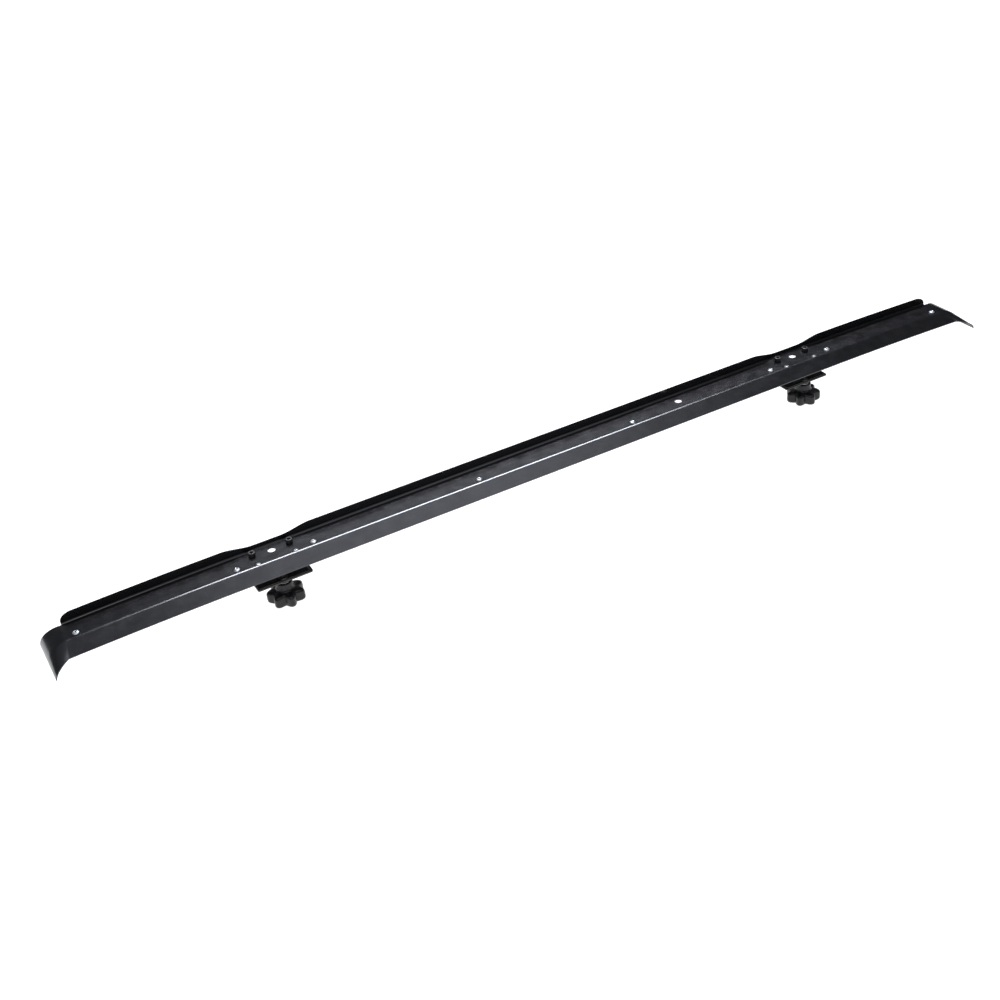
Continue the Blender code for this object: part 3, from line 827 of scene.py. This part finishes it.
def make_floor():
    """A wide white floor that glows as a lit studio sweep does."""
    half = 14.0
    mesh = bpy.data.meshes.new("floor")
    corners = [(-half, -half, 0), (half, -half, 0), (half, half, 0), (-half, half, 0)]
    mesh.from_pydata(corners, [], [(0, 1, 2, 3)])
    floor = bpy.data.objects.new("floor", mesh)
    bpy.context.scene.collection.objects.link(floor)
    finish = Finish("pale_floor", (0.5, 0.5, 0.5), 1.0)
    finish.shader.inputs["Specular IOR Level"].default_value = 0.0
    finish.shader.inputs["Emission Color"].default_value = (1.0, 1.0, 1.0, 1.0)
    finish.shader.inputs["Emission Strength"].default_value = 1.0
    mesh.materials.append(finish.material)


# Studio surroundings, as (place, brightness) pairs. Heights are angles about the bar's own
# direction, from the horizon behind the bar (0) over the top (90) to the front (180).
WALLS = ((-20, 0.9), (2, 0.8), (14, 0.4), (24, 0.42), (42, 0.46), (50, 0.9), (66, 1.4), (95, 1.5), (125, 0.9),
         (180, 0.5))
STRIP = ((47.5, 0.0), (49.0, 1.0), (57.0, 1.0), (59.0, 0.0))
STRIP_GLOW = 34.0
# The same along the bar, from its left (-1) to its right (1)
ALONG_WALLS = ((-1.0, 0.3), (-0.2, 0.24), (0.05, 0.22), (0.14, 0.5), (0.24, 0.95), (0.4, 1.0), (0.48, 0.4),
               (0.55, 0.06), (1.0, 0.03))
ALONG_STRIP = ((0.1, 0.0), (0.17, 1.0), (0.44, 1.0), (0.5, 0.0))
WALL_TINT = (0.87, 0.9, 1.0)


def brightness(tree, value, stops):
    """Brightness at a place, between the stops."""
    low, high = stops[0][0], stops[-1][0]
    spread = tree.nodes.new("ShaderNodeMapRange")
    spread.inputs["From Min"].default_value = low
    spread.inputs["From Max"].default_value = high
    tree.links.new(value, spread.inputs["Value"])
    ramp = tree.nodes.new("ShaderNodeValToRGB")
    most = max(level for _, level in stops)
    elements = ramp.color_ramp.elements
    while len(elements) < len(stops):
        elements.new(0.5)
    for element, (place, level) in zip(elements, stops):
        element.position = (place - low) / (high - low)
        element.color = (level / most, level / most, level / most, 1.0)
    tree.links.new(spread.outputs["Result"], ramp.inputs["Fac"])
    return arithmetic(tree, "MULTIPLY", ramp.outputs["Color"], most)


def arithmetic(tree, operation, first, second):
    """One math node; the operands are sockets or numbers."""
    node = tree.nodes.new("ShaderNodeMath")
    node.operation = operation
    for socket, operand in zip(node.inputs, (first, second)):
        if isinstance(operand, (int, float)):
            socket.default_value = operand
        else:
            tree.links.new(operand, socket)
    return node.outputs["Value"]


def make_world():
    """Softly lit walls, and a bright strip that draws the highlight along the ridge."""
    world = bpy.data.worlds.new("studio")
    world.use_nodes = True
    tree = world.node_tree
    direction = tree.nodes.new("ShaderNodeSeparateXYZ")
    tree.links.new(tree.nodes.new("ShaderNodeTexCoord").outputs["Generated"], direction.inputs["Vector"])
    turn = arithmetic(tree, "ARCTAN2", direction.outputs["Z"], direction.outputs["Y"])
    height = arithmetic(tree, "MULTIPLY", turn, math.degrees(1.0))
    along = direction.outputs["X"]
    light = []
    for across_stops, along_stops in ((WALLS, ALONG_WALLS), (STRIP, ALONG_STRIP)):
        across = brightness(tree, height, across_stops)
        light.append(arithmetic(tree, "MULTIPLY", across, brightness(tree, along, along_stops)))
    walls, strip = light
    total = arithmetic(tree, "ADD", walls, arithmetic(tree, "MULTIPLY", strip, STRIP_GLOW))
    background = tree.nodes["Background"]
    background.inputs["Color"].default_value = (*WALL_TINT, 1.0)
    tree.links.new(total, background.inputs["Strength"])
    bpy.context.scene.world = world


def make_lights():
    """A large softbox over the front, which shapes the knobs and the fasteners."""
    area_light("front_softbox", (-0.9, -1.1, 2.2), (-0.1, 0.0, 0.06), (1.4, 0.9), 9.0)


make_cover()
make_rail()
make_rivets()
make_cap_screws()
make_flat_screws()
make_nuts()
for clamp_side, clamp_x in STATIONS.items():
    make_clamp(clamp_side, clamp_x)
make_floor()
make_world()
make_lights()
make_camera()
bpy.context.scene.view_settings.view_transform = "Standard"
